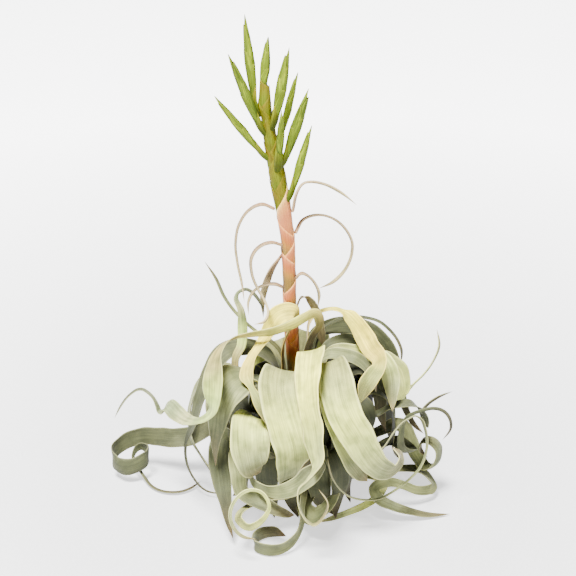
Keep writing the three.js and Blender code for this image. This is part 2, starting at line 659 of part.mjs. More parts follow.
addBlade("blade_right_high", [-15, 274], [
  [0, -6, 289, 4], [6, -6, 299, 3], [20, 0, 297, 3], [35, 6, 288, 3], [51, 10, 274, 2],
]);
addBlade("blade_left_high", [190, 276], [
  [-28, -6, 281, 4], [-38, -8, 277, 3], [-47, -8, 263, 3], [-50, -6, 241, 3],
  [-46, -4, 213, 3], [-43, -6, 192, 2],
]);
addBlade("blade_right_loop", [10, 253], [
  [6, 8, 262, 4], [20, 14, 264, 3], [37, 16, 256, 3], [48, 16, 237, 3], [43, 16, 214, 3],
  [28, 14, 199, 3], [20, 16, 195, 2],
]);
addBlade("blade_left_hook", [205, 244], [
  [-21, -10, 249, 4], [-29, -12, 247, 4], [-36, -14, 239, 4], [-37, -14, 226, 4], [-33, -13, 211, 4],
  [-26, -15, 198, 3], [-23, -22, 191, 3], [-26, -27, 185, 3], [-35, -27, 182, 2],
]);
addBlade("blade_brown", [165, 232], [
  [-20, 6, 218, 6], [-24, 8, 207, 6, right], [-27, 9, 195, 5], [-29, 11, 182, 5], [-28, 13, 168, 2],
]);
addBlade("blade_thin_brown", [190, 205], [
  [-17, -5, 209, 4], [-25, -4, 208, 3], [-34, -5, 204, 3], [-40, -7, 195, 3], [-40, -9, 181, 2],
]);
addBlade("blade_salmon", [-20, 214], [
  [4, -5, 219, 4], [10, -3, 216, 4], [16, -1, 208, 4], [20, 0, 197, 4], [19, 0, 184, 3],
]);
addLeaf("leaf_strap_brown", [70, 90], [
  [2, 12, 171, 6, deep], [2, 12, 182, 5, deep], [4, 12, 188, 5, deep], [9, 12, 189, 6],
  [15, 13, 181, 7, right], [20, 17, 167, 8, right], [22, 20, 152, 8], [26, 22, 134, 4],
], "blade");

// A spikelet is a flat lance of overlapping floral bracts that points up from the head
function spikeletRings(base, end, width, face) {
  const tangent = end.clone().sub(base).normalize();
  const across = new THREE.Vector3(...face).cross(tangent).normalize();
  const normal = new THREE.Vector3().crossVectors(tangent, across);
  return spikeletProfile.map(([u, share]) => {
    const centre = base.clone().lerp(end, u);
    const half = (width * share) / 2;
    const thick = Math.max(half * spikeletFlatness, spikeletThinnest);
    return spikeletSection.map(([a, b]) =>
      centre.clone().addScaledVector(across, a * half).addScaledVector(normal, b * thick));
  });
}

function addSpikelet(name, base, tip, width, face) {
  addPiece(name, skinRings(spikeletRings(base, tip, width, face), tip), "spikelet");
}

const sideSpikelets = [
  ["spikelet_top_left", [186, 362], [-40, 0, 433], 8.6, [0, 1, 0]],
  ["spikelet_right_1", [-34, 350], [-6, -10, 410], 9.4, [0, 1, 0]],
  ["spikelet_right_2", [35, 332], [1, 6, 387], 6.5, [-0.3, 1, 0]],
  ["spikelet_right_3", [-28, 317], [10, -10, 378], 9.6, [0, 1, 0]],
  ["spikelet_right_4", [-24, 288], [12, -7, 348], 7.4, [0.2, 1, 0]],
  ["spikelet_left_1", [212, 345], [-52, -10, 405], 8.8, [0, 1, 0]],
  ["spikelet_left_2", [200, 321], [-64, -10, 372], 7.4, [0, 1, 0]],
  ["spikelet_front", [-66, 316], [-11, -14, 362], 6.5, [0, 1, 0]],
];
for (const [name, place, tip, width, face] of sideSpikelets) {
  const end = new THREE.Vector3(...tip);
  const base = seatOnScape(place, (foot) => spikeletRings(foot, end, width, face)[0]);
  addSpikelet(name, base, end, width, face);
}
const topFoot = scapeTop.clone().add(new THREE.Vector3(0, 0, seat));
addSpikelet("spikelet_top", topFoot, new THREE.Vector3(-22, 0, 416), 9, [0.3, 1, 0]);

// The short stem, with its flat foot
function stemGeometry() {
  const middle = (stemShoulder + stemHeight) / 2;
  const heights = [0, footHeight, stemShoulder / 3, stemShoulder, middle, stemHeight];
  const rings = heights.map((z) => {
    const r = z === 0 ? footRadius : stemRadiusAt(z);
    return Array.from({ length: stemSides }, (_, k) => {
      const turn = (k / stemSides) * 2 * Math.PI;
      return new THREE.Vector3(r * Math.cos(turn), r * Math.sin(turn), z);
    });
  });
  return skinRings(rings, new THREE.Vector3(0, 0, stemHeight + crownRise));
}
addPiece("stem_base", stemGeometry(), "stem");

settle();
for (const ribbon of ribbons) {
  addPiece(ribbon.name, ribbonGeometry(thinSteps(ribbon.steps)), ribbon.finish);
}

export default plant;
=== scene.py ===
import json
import math
import random
import bpy
import numpy as np
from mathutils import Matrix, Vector


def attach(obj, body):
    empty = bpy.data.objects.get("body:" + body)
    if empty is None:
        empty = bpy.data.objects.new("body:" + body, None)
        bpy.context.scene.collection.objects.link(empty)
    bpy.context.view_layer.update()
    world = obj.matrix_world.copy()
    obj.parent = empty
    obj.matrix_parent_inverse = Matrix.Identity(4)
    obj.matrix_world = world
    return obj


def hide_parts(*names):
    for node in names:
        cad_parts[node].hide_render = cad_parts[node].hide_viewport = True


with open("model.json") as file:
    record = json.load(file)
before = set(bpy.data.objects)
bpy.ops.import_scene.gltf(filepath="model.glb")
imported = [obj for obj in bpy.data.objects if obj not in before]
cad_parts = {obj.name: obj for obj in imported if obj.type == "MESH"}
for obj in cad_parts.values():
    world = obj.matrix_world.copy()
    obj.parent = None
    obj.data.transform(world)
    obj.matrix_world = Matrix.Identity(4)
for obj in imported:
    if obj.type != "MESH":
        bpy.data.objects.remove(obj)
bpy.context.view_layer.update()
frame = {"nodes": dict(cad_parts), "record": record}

# Camera
# A short telephoto lens in front of the plant, a little above the head of the flower
# stem, looks down at the rosette. Its place is in metres from the foot of the stem.
LENS = 70
EYE = (-0.0065, -0.8610, 0.6045)
VIEW_DOWN = math.radians(25)
camera = bpy.data.objects.new("camera", bpy.data.cameras.new("camera"))
camera.data.lens = LENS
camera.data.sensor_width = 36
camera.data.clip_end = 50
camera.location = EYE
camera.rotation_euler = (math.pi / 2 - VIEW_DOWN, 0, 0)
bpy.context.collection.objects.link(camera)
bpy.context.scene.camera = camera

# Leaves of the rosette
# The real leaves are springy, fleshy ribbons that grow from the short stem, arch over
# and curl at their tips. Each is channelled along its middle, thin at its margins,
# finely striped lengthwise and dusted all over with pale scales.
MM = 0.001

# Distance between the stations along a blade, and the fewest that it has
LEAF_STEP = 1.6 * MM
FEWEST_STATIONS = 12

# Thickness of a leaf, and of a tendril, which is a ribbon that is nowhere as wide as this
LEAF_THICKNESS = 1.15 * MM
TENDRIL_THICKNESS = 1.0 * MM
TENDRIL_WIDTH = 7.5 * MM

# No blade is thicker than this share of its width, and its margins thin out by this much
THICKNESS_SHARE = 0.7
MARGIN_THINNING = 0.75
MARGIN_CURVE = 5

# Corners across a blade, from its left margin to its right one
LEAF_COLUMNS = (-1, -0.95, -0.82, -0.6, -0.32, 0, 0.32, 0.6, 0.82, 0.95, 1)
TENDRIL_COLUMNS = (-1, -0.9, -0.5, 0, 0.5, 0.9, 1)

# A leaf widens towards its root and wraps the short stem there
BASE_LENGTH = 30 * MM
BASE_WIDENING = 0.9
BASE_CURVE = 1.5
STEM_HUG = 13 * MM

# Waves of the margins: the least and greatest length in millimetres, how much longer the
# right margin's are, their height as a share of the width, and how they fade inwards
WAVE_LENGTHS = (17, 26)
RIGHT_WAVE = 1.2
WAVE_HEIGHT = 0.022
WAVE_CURVE = 3

# The pattern starts anywhere up to this many millimetres along, and the two faces of a
# blade show parts of it that lie this far apart
PATTERN_START = 900
FACE_SHIFT = 40


def linear(red, green, blue):
    """A colour of the shaders from the red, green and blue of a picture, 0 to 255."""
    shares = [c / 255 for c in (red, green, blue)]
    bright = [c / 12.92 if c <= 0.04045 else ((c + 0.055) / 1.055) ** 2.4 for c in shares]
    return (*bright, 1)


def rings_and_tip(node):
    """The rings of corners round a ribbon or a stalk, root first, and its pointed tip."""
    place = np.array([corner.co for corner in frame["nodes"][node].data.vertices])
    place, copy_of = np.unique(place, axis=0, return_inverse=True)
    copy_of = copy_of.ravel()
    beside = [set() for _ in place]
    for face in frame["nodes"][node].data.polygons:
        corners = {int(copy_of[corner]) for corner in face.vertices}
        for corner in corners:
            beside[corner] |= corners - {corner}
    for tip, around in enumerate(beside):
        rings = []
        seen = {tip}
        ring = {tip}
        while len(seen) < len(place):
            ring = set().union(*(beside[corner] for corner in ring)) - seen
            if len(ring) != len(around):
                break
            rings.append(place[sorted(ring)])
            seen |= ring
        if len(seen) == len(place):
            return rings[::-1], place[tip]
    raise ValueError(f"{node} has no pointed tip")


def ribbon_lines(node):
    """Left margin, middle and right margin of a ribbon at each ring, from root to tip."""
    rings, tip = rings_and_tip(node)
    across = None
    lines = []
    for ring in rings:
        gaps = ring[:, None] - ring[None]
        reach = np.linalg.norm(gaps, axis=2)
        widest = gaps[np.unravel_index(reach.argmax(), reach.shape)] / reach.max()
        if across is not None and widest @ across < 0:
            widest = -widest
        across = widest
        order = np.argsort(ring @ across)
        count = (len(ring) - 2) // 2
        left = ring[order[:count]].mean(axis=0)
        middle = ring[order[count:-count]].mean(axis=0)
        right = ring[order[-count:]].mean(axis=0)
        lines.append((left, middle, right))
    lines.append((tip, tip, tip))
    lines = np.array(lines)
    run = np.gradient(lines[:, 1], axis=0)
    up = np.cross(run, lines[:, 2] - lines[:, 0])
    hollow = ((lines[:, 0] + lines[:, 2]) / 2 - lines[:, 1]) * up
    if hollow.sum() < 0:
        lines = lines[:, ::-1]
    return lines


def smooth_run(rough, step):
    """Even, smooth stations through rough ones, and how far along each one lies."""
    gaps = np.linalg.norm(np.diff(rough[:, 1], axis=0), axis=1)
    far = np.concatenate([[0], np.cumsum(gaps)])
    slope = np.gradient(rough, far, axis=0)
    where = np.linspace(0, far[-1], max(FEWEST_STATIONS, round(far[-1] / step)))
    span = np.clip(np.searchsorted(far, where, side="right") - 1, 0, len(far) - 2)
    gap = (far[span + 1] - far[span])[:, None, None]
    part = (where - far[span])[:, None, None] / gap
    smooth = (
        (2 * part**3 - 3 * part**2 + 1) * rough[span]
        + (part**3 - 2 * part**2 + part) * gap * slope[span]
        + (3 * part**2 - 2 * part**3) * rough[span + 1]
        + (part**3 - part**2) * gap * slope[span + 1]
    )
    return where, smooth


def unit(vectors):
    """The same directions, each one long."""
    return vectors / np.maximum(np.linalg.norm(vectors, axis=-1, keepdims=True), 1e-9)


def lay_pattern(shape, across, along, share):
    """Each corner's place on a piece: millimetres across and along, and its share of the way."""
    return np.stack([np.broadcast_to(part, shape) for part in (across, along, share)], axis=-1)


def closed_skin(name, rings, place, edge, tip=None):
    """A closed mesh through rings of points, with each point's place on the piece."""
    rows, around = rings.shape[:2]
    points = [tuple(p) for p in rings.reshape(-1, 3)]
    faces = [
        (
            row * around + k,
            row * around + (k + 1) % around,
            (row + 1) * around + (k + 1) % around,
            (row + 1) * around + k,
        )
        for row in range(rows - 1)
        for k in range(around)
    ]
    faces.append(tuple(range(around))[::-1])
    last = (rows - 1) * around
    place = place.reshape(-1, 3)
    edge = edge.reshape(-1)
    if tip is None:
        faces.append(tuple(last + k for k in range(around)))
    else:
        faces += [(last + k, last + (k + 1) % around, len(points)) for k in range(around)]
        points.append(tuple(tip))
        place = np.vstack([place, place[-1] * (0, 1, 1)])
        edge = np.append(edge, 0)
    mesh = bpy.data.meshes.new(name)
    mesh.from_pydata(points, [], faces)
    mesh.attributes.new("blade_place", "FLOAT_VECTOR", "POINT").data.foreach_set(
        "vector", place.astype(np.float32).ravel()
    )
    mesh.attributes.new("blade_edge", "FLOAT", "POINT").data.foreach_set(
        "value", edge.astype(np.float32)
    )
    mesh.polygons.foreach_set("use_smooth", [True] * len(mesh.polygons))
    mesh.validate()
    mesh.update()
    piece = bpy.data.objects.new(name, mesh)
    bpy.context.collection.objects.link(piece)
    return piece


def grow_blade(name, lines, widening=0.0, thickness=TENDRIL_THICKNESS):
    """A fine blade on a ribbon's lines: channelled, thin and wavy at its margins."""
    draw = random.Random(name)
    along, lines = smooth_run(lines, LEAF_STEP)
    tip = lines[-1, 1]
    length = along[-1]
    along = along[:-1]
    left = lines[:-1, 0]
    middle = lines[:-1, 1]
    right = lines[:-1, 2]
    base = np.clip(1 - along / BASE_LENGTH, 0, 1)[:, None] ** BASE_CURVE
    left = left + (left - middle) * base * widening
    right = right + (right - middle) * base * widening
    width = np.linalg.norm(right - left, axis=1)
    slim = width.max() < TENDRIL_WIDTH
    columns = np.array(TENDRIL_COLUMNS if slim else LEAF_COLUMNS)
    bow = ((left + right) / 2 - middle)[:, None]
    straight = middle[:, None] + (right - left)[:, None] / 2 * columns[:, None]
    sheet = straight + bow * columns[:, None] ** 2
    if widening:
        hug = base * (width[:, None] * columns / 2) ** 2 / (2 * STEM_HUG)
        sheet = sheet - unit(middle * (1, 1, 0))[:, None] * hug[..., None]
    out = unit(np.cross(np.gradient(sheet, axis=0), np.gradient(sheet, axis=1)))
    wave = draw.uniform(*WAVE_LENGTHS) * MM
    turn = [draw.uniform(0, 2 * math.pi) for _ in range(2)]
    sway = np.where(
        columns < 0,
        np.sin(2 * math.pi * along[:, None] / wave + turn[0]),
        np.sin(2 * math.pi * along[:, None] / (RIGHT_WAVE * wave) + turn[1]),
    )
    ripple = WAVE_HEIGHT * width[:, None] * np.abs(columns) ** WAVE_CURVE * sway
    sheet = sheet + out * ripple[..., None]
    full = thickness if slim else LEAF_THICKNESS
    thin = np.sqrt(1 - MARGIN_THINNING * np.abs(columns) ** MARGIN_CURVE)
    thick = np.minimum(full, THICKNESS_SHARE * width)[:, None] * thin
    upper = sheet + out * thick[..., None] / 2
    under = sheet - out * thick[..., None] / 2
    rings = np.concatenate([upper[:, 1:-1], sheet[:, -1:], under[:, -2:0:-1], sheet[:, :1]], axis=1)
    columns_round = np.concatenate([columns[1:-1], [1], columns[-2:0:-1], [-1]])
    face = np.concatenate([np.ones(len(columns) - 2), [0.5], np.zeros(len(columns) - 2), [0.5]])
    across = columns_round * width[:, None] / 2 / MM + face * FACE_SHIFT
    start = draw.uniform(0, PATTERN_START)
    place = lay_pattern(
        across.shape, across, (along / MM + start)[:, None], (along / length)[:, None]
    )
    return closed_skin(name, rings, place, np.broadcast_to(columns_round, across.shape), tip)


def put(tree, kind, feeds, **settings):
    """A shader node with its settings and its inputs, set or linked."""
    made = tree.nodes.new("ShaderNode" + kind)
    for key, value in settings.items():
        setattr(made, key, value)
    for socket, feed in feeds.items():
        if isinstance(feed, bpy.types.NodeSocket):
            tree.links.new(feed, made.inputs[socket])
        else:
            made.inputs[socket].default_value = feed
    return made


def spread(tree, value, **limits):
    """A value taken from one range to another, 0 to 1 where no limit is given."""
    feeds = {limit.replace("_", " ").title(): number for limit, number in limits.items()}
    return put(tree, "MapRange", {"Value": value, **feeds}).outputs["Result"]


def weaken(tree, value, share):
    """A share of a value."""
    return put(tree, "Math", {0: value, 1: share}, operation="MULTIPLY").outputs[0]


def stretch(tree, vector, shares):
    """A place on a piece, scaled along each of its directions."""
    return put(tree, "VectorMath", {0: vector, 1: shares}, operation="MULTIPLY").outputs[0]


def ramp(tree, factor, stops):
    """Colours that follow one another as the factor grows."""
    made = put(tree, "ValToRGB", {"Fac": factor})
    while len(made.color_ramp.elements) < len(stops):
        made.color_ramp.elements.new(0.5)
    for element, (position, colour) in zip(made.color_ramp.elements, stops):
        element.position = position
        element.color = colour
    return made.outputs["Color"]


def blend_colour(tree, factor, first, second, way="MIX"):
    """Two colours mixed by a factor: inputs 6 and 7 and output 2 are the colour ones."""
    made = put(tree, "Mix", {0: factor, 6: first, 7: second}, data_type="RGBA", blend_type=way)
    return made.outputs[2]


def patches(tree, vector, scale, low, high, detail=2.0):
    """Soft patches, 0 to 1, where a noise lies between two of its values."""
    grain = put(tree, "TexNoise", {"Vector": vector, "Scale": scale, "Detail": detail})
    return spread(tree, grain.outputs["Fac"], from_min=low, from_max=high)


def blank_finish(name):
    """A new material, its tree of shader nodes and its surface shader."""
    material = bpy.data.materials.new(name)
    material.use_nodes = True
    tree = material.node_tree
    return material, tree, tree.nodes["Principled BSDF"]


# What a place on a leaf is multiplied by, across and along, so that a layer of the
# pattern draws out into stripes or bands
STRIPE_STRETCH = (1.0, 0.03, 0)
BAND_STRETCH = (0.3, 0.012, 0)
UNSTRETCHED = (1.0, 1.0, 0)

# Each layer of the pattern: the scale of its noise, the two values of the noise between
# which it fades in, and the noise's detail
STRIPES = (1.3, 0.35, 0.65, 3.0)
BANDS = (1.6, 0.4, 0.62)
CLOUDS = (0.075, 0.42, 0.66)
DUST = (1.9, 0.45, 0.6, 4.0)

# How strongly the layers tint the skin, and with what
BAND_STRENGTH = 0.45
CLOUD_STRENGTH = 0.75
DUST_STRENGTH = 0.14
LEAF_STRIPES = (0.28, 0.32, 0.26, 1)
LEAF_MOTTLE = (0.45, 0.5, 0.44, 1)


def dusted_skin(
    name,
    stops,
    margin,
    stripe=LEAF_STRIPES,
    mottle=LEAF_MOTTLE,
    stripiness=0.5,
    glow=0.1,
    gloss=0.25,
    fold=None,
):
    """Leaf skin: root to tip colours, lengthwise stripes, soft mottling and pale dust."""
    material, tree, skin = blank_finish(name)
    place = put(tree, "Attribute", {}, attribute_name="blade_place").outputs["Vector"]
    edge = put(tree, "Attribute", {}, attribute_name="blade_edge").outputs["Fac"]
    share = put(tree, "SeparateXYZ", {"Vector": place}).outputs["Z"]
    flat = stretch(tree, place, UNSTRETCHED)
    stripes = patches(tree, stretch(tree, place, STRIPE_STRETCH), *STRIPES)
    bands = patches(tree, stretch(tree, place, BAND_STRETCH), *BANDS)
    clouds = patches(tree, flat, *CLOUDS)
    dust = patches(tree, flat, *DUST)
    side = put(tree, "Math", {0: edge}, operation="ABSOLUTE").outputs[0]
    colour = ramp(tree, share, stops)
    layers = (
        (stripes, stripiness, stripe),
        (bands, BAND_STRENGTH, stripe),
        (clouds, CLOUD_STRENGTH, mottle),
    )
    for layer, strength, tint in layers:
        colour = blend_colour(tree, weaken(tree, layer, strength), colour, tint, "MULTIPLY")
    if fold:
        keel = spread(tree, side, from_max=0.55, to_min=0.9, to_max=0.0)
        colour = blend_colour(tree, keel, colour, fold)
    rim = spread(tree, side, from_min=0.86, from_max=1.0, to_max=0.5)
    colour = blend_colour(tree, rim, colour, margin)
    colour = blend_colour(tree, weaken(tree, dust, DUST_STRENGTH), colour, margin)
    tree.links.new(colour, skin.inputs["Base Color"])
    relief = put(tree, "Math", {0: stripes, 1: dust}, operation="ADD").outputs[0]
    bump = put(tree, "Bump", {"Height": relief, "Strength": 0.35, "Distance": 0.12 * MM})
    tree.links.new(bump.outputs["Normal"], skin.inputs["Normal"])
    rough = spread(tree, dust, to_min=0.62, to_max=0.82)
    tree.links.new(rough, skin.inputs["Roughness"])
    skin.inputs["Specular IOR Level"].default_value = gloss
    skin.inputs["Sheen Weight"].default_value = glow
    skin.inputs["Sheen Roughness"].default_value = 0.45
    skin.inputs["Subsurface Weight"].default_value = glow
    skin.inputs["Subsurface Radius"].default_value = (1.0, 0.9, 0.45)
    skin.inputs["Subsurface Scale"].default_value = 1.5 * MM
    return material


# In the leaf skins below, the tan root and straw tip are the leaves' own colours. The bright stops
# partway along are painted highlight where a leaf faces the lamp. The darker stops near the crest
# and where a leaf hangs or curls under are painted shade.
STRAW = linear(110, 78, 38)
SILVER = dusted_skin(
    "silver_leaf",
    [
        (0.0, linear(110, 70, 44)),
        (0.12, linear(92, 82, 44)),
        (0.38, linear(122, 120, 68)),
        (0.52, linear(152, 154, 82)),
        (0.64, linear(212, 216, 104)),
        (0.76, linear(184, 190, 106)),
        (0.86, linear(146, 150, 100)),
        (0.95, linear(118, 112, 70)),
        (1.0, STRAW),
    ],
    linear(216, 214, 140),
)
# A darker copy of the silver skin for leaves that look duller: partly their own tone and partly
# painted shade for leaves that lie in shadow.
MOSS_SHADED = dusted_skin(
    "moss_shaded_leaf",
    [
        (0.0, linear(90, 58, 34)),
        (0.12, linear(76, 70, 38)),
        (0.35, linear(104, 104, 62)),
        (0.6, linear(120, 124, 74)),
        (0.8, linear(98, 102, 64)),
        (0.95, linear(88, 76, 44)),
        (1.0, STRAW),
    ],
    linear(166, 164, 112),
)
# A still darker olive copy of the leaf skin: painted shade for the leaves that lie in shadow.
SAGE_SHADED = dusted_skin(
    "sage_shaded_leaf",
    [
        (0.0, linear(76, 48, 28)),
        (0.1, linear(62, 56, 28)),
        (0.3, linear(74, 76, 46)),
        (0.75, linear(66, 70, 42)),
        (0.95, linear(70, 57, 30)),
        (1.0, linear(70, 46, 22)),
    ],
    linear(128, 128, 86),
)
# A near-black copy of the leaf skin: painted shade for the leaves in the dark heart of the rosette.
PAINTED_SHADE = dusted_skin(
    "painted_shade_leaf",
    [
        (0.0, linear(54, 36, 24)),
        (0.3, linear(38, 39, 25)),
        (0.6, linear(38, 40, 25)),
        (0.85, linear(58, 61, 38)),
        (1.0, linear(66, 66, 40)),
    ],
    linear(98, 96, 64),
    glow=0.0,
)
BUTTER = dusted_skin(
    "butter_leaf",
    [
        (0.0, linear(150, 100, 56)),
        (0.15, linear(150, 130, 68)),
        (0.3, linear(204, 200, 84)),
        (0.44, linear(226, 224, 92)),
        (0.58, linear(182, 188, 98)),
        (0.75, linear(160, 162, 104)),
        (0.95, linear(126, 102, 56)),
        (1.0, STRAW),
    ],
    linear(232, 222, 140),
)
LIMY = dusted_skin(
    "limy_leaf",
    [
        (0.0, linear(60, 44, 28)),
        (0.18, linear(66, 50, 30)),
        (0.22, linear(150, 130, 56)),
        (0.27, linear(212, 204, 88)),
        (0.36, linear(196, 184, 84)),
        (0.42, linear(154, 134, 70)),
        (0.5, linear(140, 130, 70)),
        (0.57, linear(190, 210, 96)),
        (0.66, linear(146, 158, 86)),
        (0.72, linear(176, 172, 118)),
        (0.78, linear(134, 144, 100)),
        (0.86, linear(88, 90, 66)),
        (0.96, linear(62, 62, 46)),
    ],
    linear(176, 178, 116),
)
PEACH = dusted_skin(
    "peach_leaf",
    [
        (0.0, linear(120, 76, 44)),
        (0.3, linear(136, 96, 56)),
        (0.42, linear(180, 158, 60)),
        (0.52, linear(214, 200, 66)),
        (0.66, linear(236, 214, 70)),
        (0.76, linear(214, 190, 76)),
        (0.85, linear(140, 148, 70)),
        (0.95, linear(92, 98, 56)),
    ],
    linear(240, 216, 110),
)

# The skin of each kind of leaf, and of the leaves that differ from their kind. Apart from the
# banded and peach ones, the differing leaves get the darker moss, sage and near-black skins,
# painted shade for where they lie.
leaf_skins = {"leaf": SILVER, "leaf_shade": SAGE_SHADED, "leaf_cream": BUTTER}
skin_of = {
    "leaf_long_band": LIMY,
    "leaf_orange_strip": LIMY,
    "leaf_yellow_twist": PEACH,
    "leaf_peach_band": PEACH,
    "leaf_left_coil": SAGE_SHADED,
    "leaf_left_thin": MOSS_SHADED,
    "leaf_left_wide": MOSS_SHADED,
    "leaf_arch_pale": MOSS_SHADED,
    "leaf_lower_pale": MOSS_SHADED,
    "leaf_lower_cup": MOSS_SHADED,
    "leaf_folded_right": MOSS_SHADED,
    "leaf_bottom_coil": MOSS_SHADED,
    "leaf_olive_low": MOSS_SHADED,
    "leaf_right_coil": MOSS_SHADED,
    "leaf_cup": MOSS_SHADED,
    "leaf_pale_loop": MOSS_SHADED,
    "leaf_heart_right": PAINTED_SHADE,
    "leaf_heart_left": PAINTED_SHADE,
}
slot_of = {part["node"]: part["material_slot"] for part in frame["record"]["subparts"]}

for node, slot in slot_of.items():
    if slot in leaf_skins:
        leaf = grow_blade(node + "_fine", ribbon_lines(node), BASE_WIDENING)
        leaf.data.materials.append(skin_of.get(node, leaf_skins[slot]))
        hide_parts(node)
        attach(leaf, "root")

# Inner leaves
# The real rosette is packed with short young leaves that grow from the same stem and
# keep its heart dark. Each is a short arch here, which hangs down among the long ones.

# How far from the stem's middle they start, in millimetres
STEM_SIDE = 13

# Of each leaf: its compass angle in degrees, then in millimetres the heights of its root
# and of its crest, how far it reaches out, the height of its tip, and its width
INNER_LEAVES = (
    (-140, 70, 112, 38, 66, 22),
    (-118, 62, 104, 40, 52, 24),
    (-96, 74, 116, 34, 70, 20),
    (-80, 56, 100, 42, 48, 24),
    (-58, 70, 110, 38, 58, 24),
    (-36, 60, 102, 44, 50, 26),
    (-12, 60, 112, 60, 46, 34),
    (10, 66, 124, 64, 50, 40),
    (36, 74, 122, 56, 56, 40),
    (60, 62, 108, 46, 52, 26),
    (84, 76, 122, 40, 66, 26),
    (108, 60, 106, 46, 50, 26),
    (134, 74, 118, 42, 62, 26),
    (160, 60, 104, 44, 50, 26),
    (184, 72, 114, 40, 64, 24),
    (206, 58, 100, 42, 50, 24),
    (2, 60, 104, 84, 34, 26),
    (22, 56, 98, 88, 26, 28),
)

# The first of them, except those between these angles at the back, get the near-black skin as
# painted shade in the dark hollows; the rest get the sage skin, also painted shade
SHADE_PAINTED_COUNT = 16
OPEN_BACK = (60, 210)

# A ring of lower leaves: how many, their sizes in the same order from the root's height
# on, and the least and greatest share that each size is multiplied by
LOW_LEAVES = 15
LOW_SIZES = (38, 66, 54, 7, 27)
LOW_SPREAD = (0.88, 1.12)

# Stations of the arch: shares of its reach, of its climb or fall and of its width, and
# where it falls also of its sideways sweep
ARCH_PLACES = ((0.0, 0.0, 0.5), (0.25, 0.5, 0.7), (0.6, 0.94, 0.9), (0.85, 1.0, 1.0))
FALL_PLACES = ((1.0, 0.16, 1.0, 0.0), (1.06, 0.5, 0.8, 0.3), (1.06, 0.88, 0.4, 0.8))
TIP_REACH = 1.14
TIP_SWEEP = 1.4
SWEEP = 15


def arch_lines(angle, root, crest, reach, low, width, sweep):
    """Lines of a short leaf that rises from the stem, arches over and hangs down."""
    turn = math.radians(angle)
    out = np.array((math.cos(turn), math.sin(turn), 0))
    across = np.array((-math.sin(turn), math.cos(turn), 0))
    lines = []
    for share, climb, part in ARCH_PLACES:
        middle = out * (STEM_SIDE + (reach - STEM_SIDE) * share)
        middle = middle + (0, 0, root + (crest - root) * climb)
        side = across * width * part / 2
        lines.append((middle - side, middle, middle + side))
    for share, fall, part, bend in FALL_PLACES:
        middle = out * reach * share + across * sweep * bend
        middle = middle + (0, 0, crest + (low - crest) * fall)
        side = across * width * part / 2
        lines.append((middle - side, middle, middle + side))
    tip = out * reach * TIP_REACH + across * sweep * TIP_SWEEP + (0, 0, low)
    lines.append((tip, tip, tip))
    return np.array(lines) * MM


draw = random.Random("low leaves")
low_leaves = [
    (360 / LOW_LEAVES * k, *(size * draw.uniform(*LOW_SPREAD) for size in LOW_SIZES))
    for k in range(LOW_LEAVES)
]
for number, sizes in enumerate((*INNER_LEAVES, *low_leaves)):
    leaf = grow_blade(f"inner_leaf_{number + 1}", arch_lines(*sizes, draw.uniform(-SWEEP, SWEEP)))
    at_back = OPEN_BACK[0] < sizes[0] % 360 < OPEN_BACK[1]
    leaf.data.materials.append(PAINTED_SHADE if number < SHADE_PAINTED_COUNT and not at_back else SAGE_SHADED)
    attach(leaf, "root")

# Short stem
# The real stem is a woody stub, hidden by the bases of the leaves that it carries and
# by the remains of older ones. The flower stem grows out of its top.

# Long fibres and leaf scars, written as the layers of a leaf are
FIBRE_STRETCH = (900, 900, 120)
FIBRES = (1.0, 0.35, 0.65, 4.0)
SCARS = (180, 0.4, 0.6)

BARK_COLOURS = [
    (0.0, linear(92, 78, 52)),
    (0.6, linear(140, 122, 86)),
    (1.0, linear(176, 160, 120)),
]
SCAR_COLOUR = linear(118, 112, 74)

bark, tree, skin = blank_finish("dry_stem")
spot = put(tree, "TexCoord", {}).outputs["Object"]
fibres = patches(tree, stretch(tree, spot, FIBRE_STRETCH), *FIBRES)
scars = patches(tree, spot, *SCARS)
tone = blend_colour(tree, scars, ramp(tree, fibres, BARK_COLOURS), SCAR_COLOUR)
tree.links.new(tone, skin.inputs["Base Color"])
bark_bump = put(tree, "Bump", {"Height": fibres, "Strength": 0.6, "Distance": 0.4 * MM})
tree.links.new(bark_bump.outputs["Normal"], skin.inputs["Normal"])
skin.inputs["Roughness"].default_value = 0.85
frame["nodes"]["stem_base"].data.materials.clear()
frame["nodes"]["stem_base"].data.materials.append(bark)

# Flower stem
# The real flower stem is a green stalk wrapped from bottom to top in thin sheaths, one
# out of the other. Each sheath ends in a slanting rim that rises to a point, on the
# left and on the right by turns, pink below and olive in the head.
SHEATH_WALL = 0.35 * MM
SHEATH_TUCK = 30 * MM
SHEATH_SIDES = 48
SHEATH_ROWS = 18
RIM_SLANT = 0.85
RIM_FLARE = 0.25 * MM

# How a sheath narrows with the depth below its tip, which puts it inside the one below
SHEATH_TAPER = 0.014
TAPER_CURVE = 0.8

# Radius in millimetres at which the pattern is laid round a sheath
PATTERN_RADIUS = 6

# Centre and radius that the stem runs on to above its tip, so that the last sheaths
# close, and its radius at the tip itself
AXIS_END = np.array((-25, 0, 388)) * MM
AXIS_END_SIZE = 2.8 * MM
STALK_TIP_SIZE = 1 * MM

# How many rings on each side of a ring are taken with it to even out its radius
LEVELLED = 3

rings, stalk_tip = rings_and_tip("scape")
ring_centres = np.array([ring.mean(axis=0) for ring in rings] + [stalk_tip])
ring_sizes = np.array(
    [np.linalg.norm(ring - ring.mean(axis=0), axis=1).mean() for ring in rings] + [STALK_TIP_SIZE]
)
window = np.ones(2 * LEVELLED + 1) / (2 * LEVELLED + 1)
even_sizes = np.convolve(np.pad(ring_sizes, LEVELLED, mode="edge"), window, mode="valid")
even_sizes[-LEVELLED:] = ring_sizes[-LEVELLED:]


def stalk_at(height):
    """Centre and radius of the flower stem, which runs on a little over its tip."""
    heights = np.append(ring_centres[:-1, 2], AXIS_END[2])
    centres = np.vstack([ring_centres[:-1], AXIS_END])
    sizes = np.append(even_sizes[:-1], AXIS_END_SIZE)
    centre = [np.interp(height, heights, centres[:, k]) for k in range(3)]
    return np.array(centre), np.interp(height, heights, sizes)


